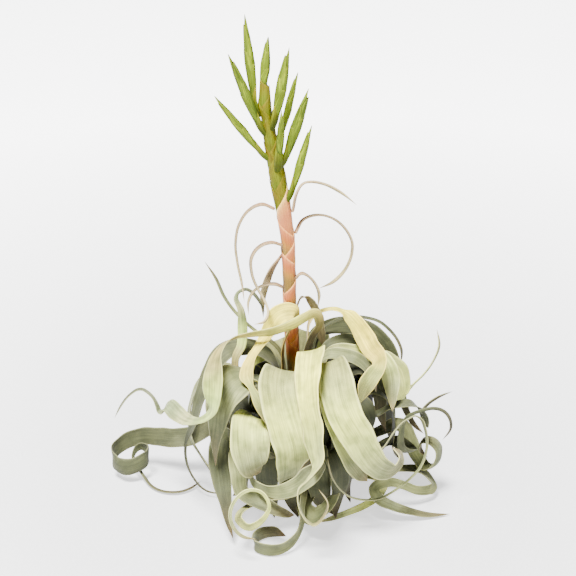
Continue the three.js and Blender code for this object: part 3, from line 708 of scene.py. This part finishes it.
def wrap_sheath(name, tip, side, drop):
    """One sheath round the stalk, pointed at a height on one side and lower behind it."""
    turns = np.linspace(-math.pi, math.pi, SHEATH_SIDES, endpoint=False)
    rim = tip - drop * (np.abs(turns) / math.pi) ** RIM_SLANT
    root = tip - drop - SHEATH_TUCK
    outside = []
    inside = []
    spots = []
    for share in np.linspace(0, 1, SHEATH_ROWS):
        outer_ring = []
        inner_ring = []
        for turn, top in zip(turns, rim):
            height = root + (top - root) * share
            centre, size = stalk_at(height)
            swell = size + RIM_FLARE - SHEATH_TAPER * (tip - height) ** TAPER_CURVE
            angle = math.radians(side) + turn
            out = np.array((math.cos(angle), math.sin(angle), 0))
            outer_ring.append(centre + out * swell)
            inner_ring.append(centre + out * (swell - SHEATH_WALL))
            spots.append((turn * PATTERN_RADIUS, height / MM, share))
        outside.append(outer_ring)
        inside.append(inner_ring)
    rings = np.array(outside + inside[::-1])
    spots = np.array(spots).reshape(SHEATH_ROWS, SHEATH_SIDES, 3)
    spots = np.concatenate([spots, spots[::-1]])
    return closed_skin(name, rings, spots, np.zeros(spots.shape[:2]))


PINK_STRIPES = (0.62, 0.44, 0.24, 1)
PINK_MOTTLE = (0.9, 0.76, 0.4, 1)
PINK_SHEATH = dusted_skin(
    "pink_sheath",
    [
        (0.0, linear(84, 74, 2)),
        (0.42, linear(112, 92, 2)),
        (0.6, linear(150, 102, 4)),
        (0.72, linear(162, 92, 16)),
        (0.84, linear(172, 94, 44)),
        (0.94, linear(188, 116, 66)),
        (1.0, linear(204, 148, 86)),
    ],
    linear(216, 166, 104),
    PINK_STRIPES,
    PINK_MOTTLE,
    stripiness=0.7,
)
CREAM_SHEATH = dusted_skin(
    "cream_tipped_sheath",
    [
        (0.0, linear(84, 78, 2)),
        (0.14, linear(124, 98, 2)),
        (0.26, linear(156, 98, 16)),
        (0.4, linear(164, 92, 36)),
        (0.7, linear(174, 98, 52)),
        (0.88, linear(192, 134, 76)),
        (1.0, linear(212, 180, 112)),
    ],
    linear(228, 206, 144),
    PINK_STRIPES,
    PINK_MOTTLE,
)
OLIVE_SHEATH = dusted_skin(
    "olive_sheath",
    [
        (0.0, linear(52, 66, 0)),
        (0.4, linear(72, 88, 0)),
        (0.7, linear(94, 104, 0)),
        (0.88, linear(104, 102, 2)),
        (0.97, linear(100, 94, 2)),
        (1.0, linear(96, 94, 2)),
    ],
    linear(92, 92, 6),
    (0.4, 0.44, 0.2, 1),
    (1.0, 0.7, 0.6, 1),
    stripiness=0.8,
    glow=0.0,
    gloss=0.12,
)

# Of each sheath: the height of its tip in millimetres, the compass angle of the tip, how
# far the rim drops on the other side in millimetres, and its skin
LEFT = 145
RIGHT = 35
SHEATHS = (
    (165, LEFT, 18, PINK_SHEATH),
    (168, RIGHT, 20, PINK_SHEATH),
    (184, RIGHT, 24, PINK_SHEATH),
    (207, LEFT, 28, PINK_SHEATH),
    (219, RIGHT, 20, PINK_SHEATH),
    (245, LEFT, 18, PINK_SHEATH),
    (256, RIGHT, 24, PINK_SHEATH),
    (272, LEFT, 20, PINK_SHEATH),
    (296, -25, 30, CREAM_SHEATH),
    (301, 185, 32, OLIVE_SHEATH),
    (312, -15, 30, OLIVE_SHEATH),
    (322, -80, 26, OLIVE_SHEATH),
    (333, 200, 26, OLIVE_SHEATH),
    (337, -30, 24, OLIVE_SHEATH),
    (352, -100, 24, OLIVE_SHEATH),
    (358, 10, 22, OLIVE_SHEATH),
    (368, 200, 22, OLIVE_SHEATH),
    (378, 20, 20, OLIVE_SHEATH),
    (384, 190, 8, OLIVE_SHEATH),
)
for number, (tip, side, drop, finish) in enumerate(SHEATHS):
    sheath = wrap_sheath(f"sheath_{number + 1}", tip * MM, side, drop * MM)
    sheath.data.materials.append(finish)
    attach(sheath, "root")

# The stalk inside the sheaths: how far it lies below their skin, how far below its tip
# its last ring is, and the one share of the sheath's colours that it shows
STALK_ROWS = 60
STALK_SIDES = 16
STALK_INSET = 1.4 * MM
STALK_TIP = 0.5 * MM
STALK_TONE = 0.6
stalk_end = ring_centres[-1, 2] - STALK_TIP
stalk_heights = np.linspace(ring_centres[0, 2], stalk_end, STALK_ROWS)
turns = np.linspace(0, 2 * math.pi, STALK_SIDES, endpoint=False)
around = np.stack([np.cos(turns), np.sin(turns), 0 * turns], axis=1)
stalk_rings = []
for height in stalk_heights:
    centre, size = stalk_at(height)
    stalk_rings.append(centre + (size - STALK_INSET) * around)
stalk_rings = np.array(stalk_rings)
stalk_shape = stalk_rings.shape[:2]
stalk_spots = lay_pattern(
    stalk_shape, turns * PATTERN_RADIUS, (stalk_heights / MM)[:, None], STALK_TONE
)
stalk = closed_skin("flower_stalk", stalk_rings, stalk_spots, np.zeros(stalk_shape), stalk_tip)
stalk.data.materials.append(OLIVE_SHEATH)
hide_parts("scape")
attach(stalk, "root")

# Long bract blades
# The real sheaths of the flower stem run out into long, dry, narrow blades that leave
# the stem to the left and to the right and roll into loops and hooks.
BLADE_THICKNESS = 2.3 * MM
TAN = dusted_skin(
    "tan_blade",
    [
        (0.0, linear(160, 104, 66)),
        (0.15, linear(126, 96, 66)),
        (0.5, linear(128, 112, 78)),
        (0.8, linear(170, 156, 104)),
        (1.0, linear(150, 132, 92)),
    ],
    linear(196, 172, 128),
)
for node, slot in slot_of.items():
    if slot == "blade":
        blade = grow_blade(node + "_fine", ribbon_lines(node), thickness=BLADE_THICKNESS)
        blade.data.materials.append(TAN)
        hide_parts(node)
        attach(blade, "root")

# Spikelets
# A real spikelet is a flat lance of keeled green bracts, folded over its two edges by
# turns, each one coming out from under the one before it. A broad pointed bract holds
# its foot against the flower stem.
LIME = dusted_skin(
    "lime_bract",
    [
        (0.0, linear(74, 88, 0)),
        (0.3, linear(96, 114, 0)),
        (0.7, linear(116, 134, 0)),
        (0.92, linear(112, 126, 2)),
        (1.0, linear(120, 118, 12)),
    ],
    linear(56, 66, 0),
    (0.18, 0.24, 0.1, 1),
    (1.6, 1.45, 1.0, 1),
    stripiness=0.95,
    glow=0.0,
    gloss=0.15,
    fold=linear(36, 48, 0),
)
SPIKELET_STEP = 1.0 * MM

# How deep a spikelet is for its width, and how much wider its bracts make it
SPIKELET_DEPTH = 0.55
SPIKELET_FULLNESS = 1.1

# A folded bract: the share of the spikelet's width that it covers, how far it stands off
# the spikelet all round, how much farther off its faces and at its own tip, and how its
# corners crowd at the fold
FOLDED_ROWS = 20
FOLDED_COLUMNS = 15
FOLDED_WALL = 0.8 * SHEATH_WALL
FOLDED_COVER = 0.9
FOLDED_CLEAR = 0.15 * MM
FACE_CLEAR = 0.25 * MM
TIP_LIFT = 0.4 * MM
FOLD_CROWDING = 1.35

# How much wider the pattern is on a bract than the spikelet, and how far along it starts
# for each whole length of the spikelet
PATTERN_WIDENING = 1.5
PATTERN_SHIFT = 40

# Start and end of each bract as shares of its spikelet's length, from foot to tip
BRACT_SPANS = ((-0.05, 0.50), (0.04, 0.64), (0.20, 0.78), (0.36, 0.90), (0.52, 1.0))


def folded_bract(name, lines, start, end, side):
    """A boat-shaped bract folded over one edge of a spikelet, pointed at its tip."""
    count = len(lines) - 1
    index = np.clip(np.linspace(start, end, FOLDED_ROWS) * count, 0, count)
    low = np.minimum(index.astype(int), count - 1)
    part = (index - low)[:, None, None]
    section = lines[low] * (1 - part) + lines[low + 1] * part
    left = section[:, 0]
    right = section[:, 2]
    run = unit(np.gradient(section[:, 1], axis=0))
    half = SPIKELET_FULLNESS * np.linalg.norm(right - left, axis=1) / 2
    across = unit(lines[count // 2, 2] - lines[count // 2, 0])
    out = unit(np.cross(run, across))
    centre = (left + right) / 2
    share = np.linspace(0, 1, FOLDED_ROWS)
    columns = np.linspace(-1, 1, FOLDED_COLUMNS)
    cover = FOLDED_COVER * np.sqrt(np.clip(1 - share**3, 0, 1))
    walls = []
    for inset in (0, FOLDED_WALL):
        clear = FOLDED_CLEAR + TIP_LIFT * share - inset
        wide = half + clear
        deep = SPIKELET_DEPTH * half + FACE_CLEAR + clear
        x = 1 - 2 * cover[:, None] * np.abs(columns) ** FOLD_CROWDING
        y = np.sign(columns) * np.sqrt(np.clip(1 - x**2, 0, 1))
        point = (
            centre[:, None]
            + across * (side * wide[:, None] * x)[..., None]
            + out[:, None] * (deep[:, None] * y)[..., None]
        )
        walls.append(point)
    rings = np.concatenate([walls[0], walls[1][:, ::-1]], axis=1)
    shape = rings.shape[:2]
    columns_round = np.concatenate([columns, columns[::-1]])
    length = np.linalg.norm(np.diff(centre, axis=0), axis=1).sum()
    place = lay_pattern(
        shape,
        columns_round * half[:, None] / MM * PATTERN_WIDENING,
        (share * length / MM + PATTERN_SHIFT * start)[:, None],
        share[:, None],
    )
    return closed_skin(name, rings, place, np.broadcast_to(columns_round, shape))


# The broad bract: its length, how far it starts below the spikelet's foot and behind it,
# and how far it bulges outwards halfway up
CRADLE_ROWS = 18
CRADLE_COLUMNS = 17
CRADLE_LENGTH = 26 * MM
CRADLE_SINK = 8 * MM
TOP_SINK = 15 * MM
CRADLE_BACK = 2.6 * MM
CRADLE_BULGE = 1.6 * MM

# Half its width, its shares at the foot and gained on the way up, how late it closes to a
# point, and the least that is left there
CRADLE_HALF = 4.3 * MM
CRADLE_FOOT = 0.4
CRADLE_GAIN = 0.8
CRADLE_CLOSING = 2.2
POINT_SHARE = 0.002
POINT_HALF = 0.1 * MM

# How far round it reaches to each side, how much less so at its tip, and how flat it is
CRADLE_ARC = math.radians(118)
ARC_LOSS = 0.25
CRADLE_FLATNESS = 0.8

# A small step to the front, for the bract of the spikelet on the stem's tip
TOWARDS_FRONT = np.array((0.3, -1, 0)) * MM

# How far along the pattern starts for each metre that the foot lies up the stem
CRADLE_PATTERN = 3000


def cradle_bract(name, foot, aim, sink):
    """The broad pointed bract that holds the foot of a spikelet against the stem."""
    centre, _ = stalk_at(foot[2])
    away = foot - centre + TOWARDS_FRONT
    away = unit(away - aim * (away @ aim))
    across = np.cross(aim, away)
    start = foot - aim * sink - away * CRADLE_BACK
    angles = np.linspace(-CRADLE_ARC, CRADLE_ARC, CRADLE_COLUMNS)
    climb = np.linspace(0, 1, CRADLE_ROWS)
    walls = []
    for inset in (0, SHEATH_WALL):
        rows = []
        for share in climb:
            closing = math.sqrt(max(1 - share**CRADLE_CLOSING, POINT_SHARE))
            half = CRADLE_HALF * (CRADLE_FOOT + CRADLE_GAIN * share**0.5) * closing - inset
            half = max(half, POINT_HALF)
            bulge = CRADLE_BULGE * math.sin(math.pi * share)
            middle = start + aim * CRADLE_LENGTH * share + away * bulge
            rows.append([
                middle + (away * math.cos(a) * CRADLE_FLATNESS + across * math.sin(a)) * half
                for a in angles * (1 - ARC_LOSS * share)
            ])
        walls.append(np.array(rows))
    rings = np.concatenate([walls[0], walls[1][:, ::-1]], axis=1)
    shape = rings.shape[:2]
    columns_round = np.concatenate([angles, angles[::-1]]) / CRADLE_ARC
    along = climb * CRADLE_LENGTH / MM + foot[2] * CRADLE_PATTERN
    spots = lay_pattern(shape, columns_round * PATTERN_RADIUS, along[:, None], climb[:, None])
    return closed_skin(name, rings, spots, np.broadcast_to(columns_round, shape))


for node, slot in slot_of.items():
    if slot == "spikelet":
        _, lines = smooth_run(ribbon_lines(node), SPIKELET_STEP)
        bracts = [
            folded_bract(node, lines, start, end, 1 if number % 2 else -1)
            for number, (start, end) in enumerate(BRACT_SPANS)
        ]
        with bpy.context.temp_override(
            active_object=bracts[0], selected_editable_objects=bracts
        ):
            bpy.ops.object.join()
        spikelet = bracts[0]
        spikelet.name = node + "_fine"
        spikelet.data.materials.append(LIME)
        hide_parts(node)
        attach(spikelet, "root")
        foot = lines[0, 1]
        aim = unit(lines[-1, 1] - foot)
        sink = TOP_SINK if node == "spikelet_top" else CRADLE_SINK
        cradle = cradle_bract("primary_" + node, foot, aim, sink)
        cradle.data.materials.append(OLIVE_SHEATH)
        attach(cradle, "root")

# Floor and light
# The plant stands on a plain white table that runs on behind it. The table glows with its
# own light, weakly under the plant, which lightens its shadows, and strongly behind it. A wide
# soft lamp hangs above the plant, a weak one stands in front at the right, and the white room fills
# the shadows.
FLOOR_REACH = 40
FLECKS = (400, 0.3, 0.7)
TABLE_COLOURS = [(0, linear(158, 158, 158)), (1, linear(164, 164, 164))]

# Distances from the plant in metres between which the table's own light grows, and its
# strength at each
GLOW_STARTS = 0.2
GLOW_ENDS = 1.2
NEAR_GLOW = 3.6
FAR_GLOW = 16.0

floor_mesh = bpy.data.meshes.new("floor")
floor_mesh.from_pydata(
    [(x * FLOOR_REACH, y * FLOOR_REACH, 0) for x, y in ((-1, -1), (1, -1), (1, 1), (-1, 1))],
    [],
    [(0, 1, 2, 3)],
)
floor = bpy.data.objects.new("floor", floor_mesh)
bpy.context.collection.objects.link(floor)
white, tree, skin = blank_finish("white_table")
spot = put(tree, "TexCoord", {}).outputs["Object"]
table = ramp(tree, patches(tree, spot, *FLECKS), TABLE_COLOURS)
reach = put(tree, "VectorMath", {0: spot}, operation="LENGTH").outputs["Value"]
lit = spread(
    tree, reach, from_min=GLOW_STARTS, from_max=GLOW_ENDS, to_min=NEAR_GLOW, to_max=FAR_GLOW
)
tree.links.new(table, skin.inputs["Base Color"])
tree.links.new(table, skin.inputs["Emission Color"])
tree.links.new(lit, skin.inputs["Emission Strength"])
skin.inputs["Roughness"].default_value = 0.9
floor.data.materials.append(white)

ROOM_LIGHT = 0.1
world = bpy.data.worlds.new("white_room")
world.use_nodes = True
background = world.node_tree.nodes["Background"]
background.inputs["Color"].default_value = (1, 1, 1, 1)
background.inputs["Strength"].default_value = ROOM_LIGHT
bpy.context.scene.world = world

LAMP_SIZE = 0.8
LAMP_AIM = Vector((0, 0, 0.15))


def hang_lamp(name, place, power):
    """A wide soft lamp that faces the plant."""
    lamp = bpy.data.objects.new(name, bpy.data.lights.new(name, "AREA"))
    lamp.data.shape = "DISK"
    lamp.data.size = LAMP_SIZE
    lamp.data.energy = power
    lamp.location = place
    lamp.rotation_euler = (LAMP_AIM - Vector(place)).to_track_quat("-Z", "Y").to_euler()
    bpy.context.collection.objects.link(lamp)


hang_lamp("lamp_above", (-0.5, -0.7, 2.6), 560)
hang_lamp("lamp_side", (1.2, -1.6, 0.9), 14)
